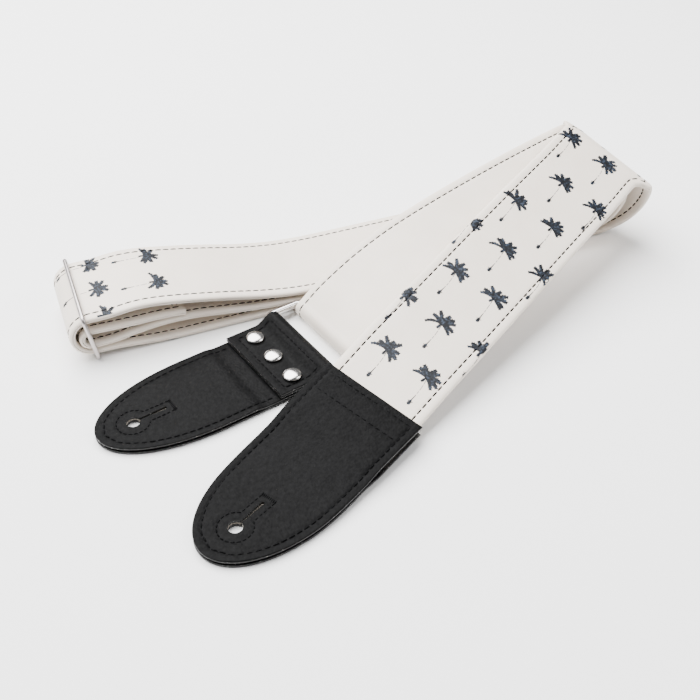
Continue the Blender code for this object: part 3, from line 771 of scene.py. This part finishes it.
def front_place(w, v, h):
    """Point of the front tab: w from the strap's side, v to the right, h up from its middle."""
    head, across = heading(FRONT_AZIMUTH), rightward(FRONT_AZIMUTH)
    bank = radians(front_bank(w))
    base = Vector((FRONT_BACK_EDGE.x - head.x * w, FRONT_BACK_EDGE.y - head.y * w, front_height(w)))
    up = Vector((0, 0, 1)) * cos(bank) + across * sin(bank)
    return base + (across * cos(bank) - Vector((0, 0, sin(bank)))) * v + up * h


PLY_PITCH = GAP / 2
REAR_THIN = PANEL + PLY_PITCH
EYE = RING_WIRE + 0.4 + REAR_THIN
ARC = pi * EYE
FLAP_END = -ARC - FLAP_LENGTH


def front_lift(w):
    """From the front tab's middle to the inside of a panel: over the strap, then over the stiffener."""
    over_strap, over_core = STRAP_THICK / 2 + GAP + 0.25, STIFFENER / 2 + GAP
    return over_strap + (over_core - over_strap) * ease((w - 27) / 14)


def rear_lift(w):
    """The same for the rear tab, whose stiffener starts past the flap."""
    return PLY_PITCH + (STIFFENER / 2 + GAP - PLY_PITCH) * ease((w - 33) / 6)


def rear_section(w):
    """Run from the ring's bar, height and turn of the rear tab: tab, bend round the bar, then flap."""
    bar_z = RING_FAR.z
    if w >= 0:
        flat = PANEL + rear_lift(w)
        return w, flat + (bar_z - EYE - flat) * (1 - ease(w / 8)), 0.0
    if w > -ARC:
        a = -w / EYE
        return -EYE * sin(a), bar_z - EYE * cos(a), a
    run = -w - ARC
    low, high = 3 * REAR_THIN + FLAP_GAP, bar_z + EYE
    return run, high + (low - high) * ease(run / 9.6), pi


def rear_place(w, v, h):
    """Point of the rear tab: w from the ring's bar, less than 0 on the flap; v to the right, h up."""
    x, z, angle = rear_section(w)
    x += h * sin(angle)
    z += h * cos(angle)
    spot = RING_NEAR - heading(BACK_AZIMUTH) * x
    return Vector((spot.x, spot.y, z)) + rightward(BACK_AZIMUTH) * v


HOLE = TAB_LENGTH - HOLE_FROM_TIP
SLIT_END = HOLE - HOLE_RADIUS - SLIT_LENGTH


def keyhole_arc(radius, opening):
    """Round part of a keyhole; opening is half the angle left out on the slit's side."""
    angles = [opening + (2 * pi - 2 * opening) * t for t in shares(40)]
    return [(HOLE - radius * cos(a), radius * sin(a)) for a in angles]


SLOT_END = SLIT_END - SLOT_STITCH
HOLE_ROW = [(SLOT_END, SLOT_STITCH)] + keyhole_arc(KEYHOLE_STITCH, 0.49) + [(SLOT_END, -SLOT_STITCH)]


def distance_to_path(points, path):
    """Shortest distance from each point to a polyline."""
    points = np.asarray(points, float)
    path = np.asarray(path, float)
    a, b = path[:-1], path[1:]
    ab = b - a
    best = np.full(len(points), 1e9)
    length = np.maximum((ab ** 2).sum(1), 1e-12)
    for i in range(len(a)):
        t = np.clip(((points - a[i]) @ ab[i]) / length[i], 0, 1)
        best = np.minimum(best, np.hypot(*(points - a[i] - t[:, None] * ab[i]).T))
    return best


def span(start, end, step):
    """Evenly spaced numbers from start to end, about a step apart."""
    count = max(1, round((end - start) / step))
    return [start + (end - start) * i / count for i in range(count + 1)]


# columns of a panel by their distance from its edge: close together at the rim and at the stitch groove
INSETS = [0, 0.05, 0.16, 0.34, 0.6, 1.0, 1.5, 2.1, 2.7, 3.2, 3.5, 3.7, 3.9, 4.2, 4.7, 5.5, 6.5, 7.6, 8.8]
INSETS += [10 + 1.2 * i for i in range(13)]
MIDDLE_COLUMN = 1.2
# stations from the shoulder to the tip, closer together towards it
TIP_STATIONS = [SHOULDER + (TAB_LENGTH - SHOULDER) * sin(radians(88.4) * t) for t in shares(74)[1:]]
INNER_RIM, THINNEST, CUT_BAND, PANEL_SHARP = 0.3, 0.02, 0.2, 42
TAB_THREAD, TAB_LIFT = 0.62, 0.1


def rim_drop(inset, radius):
    """How far a rounded edge has dropped at an inset from it."""
    return radius - (radius ** 2 - max(radius - inset, 0) ** 2) ** 0.5


class Tab:
    """Two leatherette panels, each a grid of stations and columns; lift(w) is where their insides lie."""

    def __init__(self, body, place_at, lift, stations, width):
        self.body, self.place_at, self.lift, self.stations = body, place_at, lift, stations
        half = width / 2
        ratios = [1 - d / half for d in INSETS if d < half - MIDDLE_COLUMN]
        self.ratios = ratios + [0.0] + [-r for r in reversed(ratios)]
        right = [(w, half_width(w, width)) for w in stations]
        outline = right + [(w, -v) for w, v in reversed(right)]
        self.spots = [(w, v * r) for w, v in right for r in self.ratios]
        self.inset = distance_to_path(self.spots, outline + outline[:1])

    def panel(self, name, side, relief, rim):
        """Upper panel (side 1) or lower one (-1); relief moves its outer face, rim rounds its edge."""
        low, high = [], []
        for (w, v), d, r in zip(self.spots, self.inset, relief):
            inner = self.lift(w) + rim_drop(d, INNER_RIM)
            outer = self.lift(w) + PANEL - rim_drop(d, rim) + r * min(d / rim, 1)
            low.append(self.place_at(w, v, side * inner))
            high.append(self.place_at(w, v, side * max(outer, inner + THINNEST)))
        columns, rows, count = len(self.ratios), len(self.stations), len(low)
        faces, face_mats = [], []
        for i in range(rows - 1):
            for j in range(columns - 1):
                a = i * columns + j
                b = a + columns
                cut = int(max(self.inset[k] for k in (a, a + 1, b, b + 1)) < CUT_BAND)
                faces += [(a, a + 1, b + 1, b), (count + a, count + b, count + b + 1, count + a + 1)]
                face_mats += [1, cut]
            for a in (i * columns, (i + 1) * columns - 1):
                faces.append((a, a + columns, count + a + columns, count + a))
                face_mats.append(1)
        for i in (0, rows - 1):
            for a in range(i * columns, (i + 1) * columns - 1):
                faces.append((a, a + 1, count + a + 1, count + a))
                face_mats.append(1)
        return mesh_object(name, low + high, faces, [black, edge_black], self.body, face_mats, PANEL_SHARP)

    def under_face(self, w, v, side, depth):
        """Point a depth under an outer face, and the outward normal there."""
        h = side * (self.lift(w) + PANEL - depth)
        point = self.place_at(w, v, h)
        return point, (self.place_at(w, v, h + side) - point).normalized()

    def sew(self, name, node, rows, side=1, pitch=3.6, length=2.7, sink=0.22):
        """Stitches along rows of (w, v) points on an outer face, in place of a packed thread."""
        batch = Batch()
        for path in rows:
            spot, total = along_path(path)
            count = max(1, round(total / pitch))
            step = total / count
            for i in range(count):
                start = i * step + (step - length) / 2
                stitch(batch, lambda s: self.under_face(*spot(s), side, sink), max(start, 0),
                       min(start + length, total), TAB_THREAD, TAB_LIFT)
        obj = batch.build(name, thread_dark, self.body)
        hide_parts(node)

    def slot_tack(self, name):
        """Dense zigzag across the end of the slit's stitching."""
        batch = Batch()
        half, turns = SLOT_STITCH + 0.4, 9
        for i in range(turns):
            v = -half + 2 * half * (i + 0.5) / turns
            points, normals = zip(*[self.under_face(SLOT_END + t, v + 0.25 * t, 1, 0.02 + 0.35 * t ** 4)
                                    for t in (-1.0, -0.5, 0.0, 0.5, 1.0)])
            batch.tube(points, normals, [0.6] * 5, [0.45] * 5)
        obj = batch.build(name, thread_dark, self.body)


SLIT_RELIEF, CUT_REACH = 0.8, 6.0


def keyhole_cutter(name, place_at):
    """Button hole and slit, cut straight down; the slit ends in a small round relief."""
    outline = keyhole_arc(HOLE_RADIUS, SLIT_WIDTH / 2 / HOLE_RADIUS)
    for t in shares(12):
        a = -0.6 * pi + 1.2 * pi * t
        outline.append((SLIT_END - SLIT_RELIEF * cos(a), SLIT_RELIEF * sin(a)))
    rings = [[place_at(w, v, h) for w, v in outline] for h in (-CUT_REACH, CUT_REACH)]
    return loft(name, rings, [edge_black], None)


def cut_with(obj, cutters):
    """Cut holes into a panel and bake the result."""
    for cutter in cutters:
        mod = obj.modifiers.new("cut", "BOOLEAN")
        mod.operation, mod.solver, mod.object = "DIFFERENCE", "EXACT", cutter
    graph = bpy.context.evaluated_depsgraph_get()
    mesh = bpy.data.meshes.new_from_object(obj.evaluated_get(graph))
    obj.modifiers.clear()
    obj.data = mesh
    mesh.shade_smooth()
    mesh.set_sharp_from_angle(angle=radians(PANEL_SHARP))


def wrinkle(spots, seed, amount):
    """Soft unevenness of the leatherette: broad waves with finer ones on them."""
    broad = [noise.noise(Vector((w * 0.045, v * 0.07, seed))) for w, v in spots]
    fine = [noise.noise(Vector((w * 0.13, v * 0.16, seed + 9))) for w, v in spots]
    return amount * (np.array(broad) + 0.45 * np.array(fine))


def grooves(tab, paths, depth=0.26, width=0.75):
    """Thread rows pull the leatherette down along their paths."""
    total = np.zeros(len(tab.spots))
    for path in paths:
        total = np.maximum(total, depth * np.exp(-(distance_to_path(tab.spots, path) / width) ** 2))
    return -total


def outline_row(width, start):
    """Stitch row inside a tab's outline, from the right side round the tip to the left side."""
    straight, tip, step = 45, TAB_LENGTH - TAB_STITCH, 0.05
    stations = span(start, straight, 2.0)
    stations += [straight + (tip - straight) * sin(pi / 2 * t) for t in shares(60)[1:]]
    side = []
    for w in stations:
        slope = (half_width(w + step, width) - half_width(w - step, width)) / (2 * step)
        reach = hypot(1, slope)
        side.append((w + TAB_STITCH * slope / reach, half_width(w, width) - TAB_STITCH / reach))
    side = [(w, v) for w, v in side if v > 0.2]
    return side + [(tip, 0.0)] + [(w, -v) for w, v in reversed(side)]


def along_path(path):
    """Function of the distance along a polyline, and its length."""
    path = [Vector(p) for p in path]
    marks = [0.0]
    for a, b in zip(path, path[1:]):
        marks.append(marks[-1] + (b - a).length)

    def spot(s):
        k = min(max(int(np.searchsorted(marks, s, side="right")) - 1, 0), len(path) - 2)
        return path[k].lerp(path[k + 1], (s - marks[k]) / max(marks[k + 1] - marks[k], 1e-9))
    return spot, marks[-1]


KEYHOLE_GROOVE = (0.3, 0.8)
KEYHOLE_SEWING = {"pitch": 2.4, "length": 1.9, "sink": 0.26}


def open_panels(panels, cutters):
    """Cut both panels of a tab, then drop the cutters."""
    for obj, node in panels:
        cut_with(obj, cutters)
        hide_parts(node)
    for cutter in cutters:
        bpy.data.objects.remove(cutter, do_unlink=True)


def build_front_tab():
    """Tab sewn over the strap's front end."""
    stations = span(0, 1.2, 0.15) + span(2.0, SHOULDER, 1.1) + TIP_STATIONS
    tab = Tab("strap", front_place, front_lift, stations, FRONT_WIDTH)
    edge = FRONT_WIDTH / 2 - TAB_STITCH
    around = outline_row(FRONT_WIDTH, TAB_STITCH)
    back = [(TAB_STITCH, edge), (TAB_STITCH, -edge)]
    cross = [(CROSS_STITCH, edge - 1.2), (CROSS_STITCH, 1.2 - edge)]
    relief = wrinkle(tab.spots, 3.0, 0.30) + grooves(tab, [around, back, cross])
    relief += grooves(tab, [HOLE_ROW], *KEYHOLE_GROOVE)
    top = tab.panel("front_tab_top", 1, relief, 0.62)
    low = tab.panel("front_tab_bottom", -1, np.zeros(len(tab.spots)), 0.4)
    cutter = keyhole_cutter("front_hole_cutter", front_place)
    open_panels(((top, "front_tab_top_panel"), (low, "front_tab_bottom_panel")), [cutter])
    tab.sew("front_tab_edge_stitches", "front_tab_perimeter_thread", [around, back])
    tab.sew("front_tab_cross_stitches", "front_tab_cross_thread", [cross])
    tab.sew("front_tab_keyhole_stitches", "front_keyhole_thread", [HOLE_ROW], **KEYHOLE_SEWING)
    tab.slot_tack("front_tab_slot_tack")


def rivet_dent(w, v):
    """The three rivets press the flap in round them."""
    aside = v % RIVET_PITCH
    if aside > 8:
        aside -= RIVET_PITCH
    return 0.30 * exp(-(hypot(w + ARC + RIVET_RUN, aside) / 6.2) ** 2)


def build_rear_tab():
    """Tab whose flap is folded back under the ring's bar and riveted."""
    stations = span(FLAP_END, FLAP_END + 1.2, 0.15) + span(FLAP_END + 2.0, -ARC - 0.9, 1.1)
    stations += span(-ARC, 0, 0.45) + span(0.8, SHOULDER, 1.1) + TIP_STATIONS
    tab = Tab("rear_tab", rear_place, rear_lift, stations, REAR_WIDTH)
    edge = REAR_WIDTH / 2 - TAB_STITCH
    around = outline_row(REAR_WIDTH, FLAP_LENGTH + 2.0)
    first, last = -ARC - 3.0, FLAP_END + 4.5
    corners = [(first, edge), (last, edge), (last, -edge), (first, -edge)]
    box = [[corners[i], corners[(i + 1) % 4]] for i in range(4)]
    past_flap = np.array([ease((w - 34) / 8) for w, _ in tab.spots])
    on_flap = np.array([float(w < -ARC) for w, _ in tab.spots])
    dents = np.array([rivet_dent(w, v) for w, v in tab.spots])
    upper = wrinkle(tab.spots, 11.0, 0.24) * past_flap + grooves(tab, [around])
    upper += grooves(tab, [HOLE_ROW], *KEYHOLE_GROOVE)
    lower = (wrinkle(tab.spots, 17.0, 0.16) + grooves(tab, box) - dents) * on_flap
    top = tab.panel("rear_tab_top", 1, upper, 0.55)
    low = tab.panel("rear_tab_bottom", -1, lower, 0.55)
    cutters = [keyhole_cutter("rear_hole_cutter", rear_place)] + [rivet_cutter(k) for k in (-1, 0, 1)]
    open_panels(((top, "rear_tab_top_panel"), (low, "rear_tab_bottom_panel")), cutters)
    tab.sew("rear_tab_edge_stitches", "rear_tab_edge_thread", [around])
    tab.sew("rear_tab_keyhole_stitches", "rear_keyhole_thread", [HOLE_ROW], **KEYHOLE_SEWING)
    tab.sew("rear_flap_stitches", "rear_flap_thread", box, side=-1)
    tab.slot_tack("rear_tab_slot_tack")


# ---------------- metal parts
def lathe(name, centre, profile, mats, body, sides=56):
    """Solid of revolution about a vertical axis, from the bottom axis point to the top one."""
    angles = [2 * pi * i / sides for i in range(sides)]
    verts = [centre + Vector((0, 0, profile[k][1])) for k in (0, -1)]
    verts += [centre + Vector((r * cos(a), r * sin(a), z)) for r, z in profile[1:-1] for a in angles]
    top = len(verts) - sides
    faces = []
    for i in range(sides):
        j = (i + 1) % sides
        faces += [(0, 2 + j, 2 + i), (1, top + i, top + j)]
        faces += [(a + i, a + j, a + sides + j, a + sides + i) for a in range(2, top, sides)]
    return mesh_object(name, verts, faces, mats, body)


BACK_RADIUS, BACK_TOP = 4.7, 1.22
POST_RADIUS, POST_HOLE, POST_START = 1.5, 1.85, 1.35
DOME_START, DOME_RISE, RIM_LOW = 0.28, 1.62, 0.12


def rivet_centre(k):
    """Place on the floor under a rivet; k is -1, 0 or 1."""
    spot = RING_NEAR - heading(BACK_AZIMUTH) * RIVET_RUN
    return Vector((spot.x, spot.y, 0)) + rightward(BACK_AZIMUTH) * RIVET_PITCH * k


def rivet_cutter(k):
    """Room for a rivet's back and post."""
    profile = [(0, -1), (BACK_RADIUS, -1), (BACK_RADIUS, BACK_TOP), (POST_HOLE, BACK_TOP), (POST_HOLE, 9),
               (0, 9)]
    return lathe(f"post_cutter_{k + 1}", rivet_centre(k), profile, [edge_black], None, 32)


def build_rivets():
    """Domed caps with their posts."""
    top = 4 * REAR_THIN + FLAP_GAP + GAP
    low = top - RIM_LOW
    post = [(0, POST_START), (POST_RADIUS, POST_START), (POST_RADIUS, low)]
    rim = [(RIVET_CAP - 0.25, low), (RIVET_CAP - 0.02, top + 0.02)]
    dome = [(RIVET_CAP * cos(pi / 2 * t), top + DOME_START + DOME_RISE * sin(pi / 2 * t))
            for t in shares(16)[:-1]]
    profile = post + rim + dome + [(0, top + DOME_START + DOME_RISE)]
    for k, label in ((-1, "left"), (0, "middle"), (1, "right")):
        cap = lathe(f"rivet_{label}_dome", rivet_centre(k), profile, [nickel], "rear_tab")
        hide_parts(f"rivet_{label}_cap")


def round_bar(name, path, radius, mats, body, closed=True):
    """Wire along a path of (point, side, up)."""
    turns = [2 * pi * i / 24 for i in range(24)]
    rings = [[spot + side * radius * cos(a) + up * radius * sin(a) for a in turns] for spot, side, up in path]
    return loft(name, rings, mats, body, closed=closed)


def build_ring():
    """Rectangular wire ring between the strap's loop and the rear tab."""
    head, across, up = heading(BACK_AZIMUTH), rightward(BACK_AZIMUTH), Vector((0, 0, 1))
    half, corner = RING_INNER / 2 + RING_WIRE, 2.6
    loop = []
    near, far, aside = corner - RING_REACH, -corner, half - corner
    for k, (along, side) in enumerate(((far, aside), (far, -aside), (near, -aside), (near, aside))):
        for t in shares(12):
            a = radians(90 * (k + t))
            out = across * cos(a) + head * sin(a)
            loop.append((RING_FAR + head * along + across * side + out * corner, out, up))
    ring = round_bar("strap_ring", loop, RING_WIRE, [nickel], "ring")
    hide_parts("ring")


def build_slide():
    """Tri-glide of round wire: an outer frame and a centre bar."""
    half, corner = SLIDE_INNER / 2 + SLIDE_WIRE, 3.0
    left, right = Vector((0, BUNDLE_Y + half, 0)), Vector((0, BUNDLE_Y - half, 0))
    top, low = Vector((-298.6, 0, 25.9)), Vector((-295.2, 0, 1.15))     # levels of its long sides
    slope, sideways = (low - top).normalized(), Vector((0, 1, 0))
    loop = []
    for level, side, first, second in ((top, left, sideways, -slope), (low, left, slope, sideways),
                                       (low, right, -sideways, slope), (top, right, -slope, -sideways)):
        centre = level + side - first * corner - second * corner
        for t in shares(8):
            a = pi / 2 * (1 - t)
            out = first * cos(a) + second * sin(a)
            loop.append((centre + out * corner, out, slope.cross(sideways)))
    slide = round_bar("tri_glide", loop, SLIDE_WIRE, [wire], "slide")
    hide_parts("tri_glide_slide")
    path = [(SLIDE_AXIS + sideways * t, Vector((1, 0, 0)), Vector((0, 0, 1)))
            for t in span(-half + 0.5, half - 0.5, 2.0)]
    bar = round_bar("tri_glide_centre_bar", path, SLIDE_WIRE * 0.98, [wire], "slide", closed=False)


def build_tail():
    """Two stitch rows across the strap's sewn end."""
    batch = Batch()
    for back in (3.0, 5.4):
        u = strap.length - back
        for i in range(10):
            v = -STITCH_V + FIRST_STITCH + STRAP_PITCH * i
            stitch(batch, lambda s: on_strap(u, s), v, v + 3.1, TAB_THREAD, 0.02)
    obj = batch.build("sewn_end_stitches", thread_dark, "strap")
    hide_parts("sewn_end_bar_tack")


def dress_nodes():
    """Materials for the nodes that show as packed."""
    for mat, nodes in ((board, ("front_tab_stiffener", "rear_tab_stiffener")),
                       (nickel, ("rivet_left_back", "rivet_middle_back", "rivet_right_back"))):
        for node in nodes:
            frame["nodes"][node].data.materials.clear()
            frame["nodes"][node].data.materials.append(mat)


build_front_tab()
build_rear_tab()
build_rivets()
build_ring()
build_slide()
build_tail()
dress_nodes()


# ---------------- floor, light and camera
FLOOR_REACH, FLOOR_GAP = 6.0, 0.0004       # metres


def build_stage():
    """Plain pale floor just under the part."""
    mesh = bpy.data.meshes.new("floor")
    mesh.from_pydata([(FLOOR_REACH * x, FLOOR_REACH * y, 0) for x, y in ((-1, -1), (1, -1), (1, 1), (-1, 1))],
                     [], [(0, 1, 2, 3)])
    floor = add_object("floor", mesh)
    floor.location.z = CAD_BOX[0].z - FLOOR_GAP
    mesh.materials.append(Surface("pale_floor", (0.97, 0.97, 0.97), 0.85).mat)


def aim(obj, spot, target):
    """Put a lamp or the camera at a spot, looking at the target."""
    obj.location = spot
    obj.rotation_euler = (target - spot).to_track_quat("-Z", "Y").to_euler()


def area_light(name, spot, size, power):
    """White soft light aimed at the part's middle; size in metres, power in watts."""
    data = bpy.data.lights.new(name, "AREA")
    data.shape = "RECTANGLE"
    data.size, data.size_y = size
    data.energy = power
    lamp = add_object(name, data)
    aim(lamp, Vector(spot), Vector())


def build_light():
    """Large soft key from behind and above, weak fill, even surroundings."""
    world = bpy.data.worlds.new("studio")
    world.use_nodes = True
    background = world.node_tree.nodes["Background"].inputs
    background["Color"].default_value = (1.0, 1.0, 1.0, 1)
    background["Strength"].default_value = 0.26
    bpy.context.scene.world = world
    area_light("key", (-0.30, 0.50, 1.05), (1.7, 1.3), 86.0)
    area_light("fill", (0.75, -0.35, 0.8), (0.6, 0.6), 8.0)


CAMERA_SPOT, CAMERA_TARGET = (-312.2, -384.3, 296.5), (-179.7, -61.4, 0.0)


def build_camera():
    """Seen from the slide's end and the front tab's side, about 40 degrees above the floor."""
    data = bpy.data.cameras.new("camera")
    data.sensor_width = 36.0
    data.lens = 47.808
    data.clip_start, data.clip_end = 0.01, 50.0
    camera = add_object("camera", data)
    aim(camera, place(CAMERA_SPOT), place(CAMERA_TARGET))
    bpy.context.scene.camera = camera


build_stage()
build_light()
build_camera()
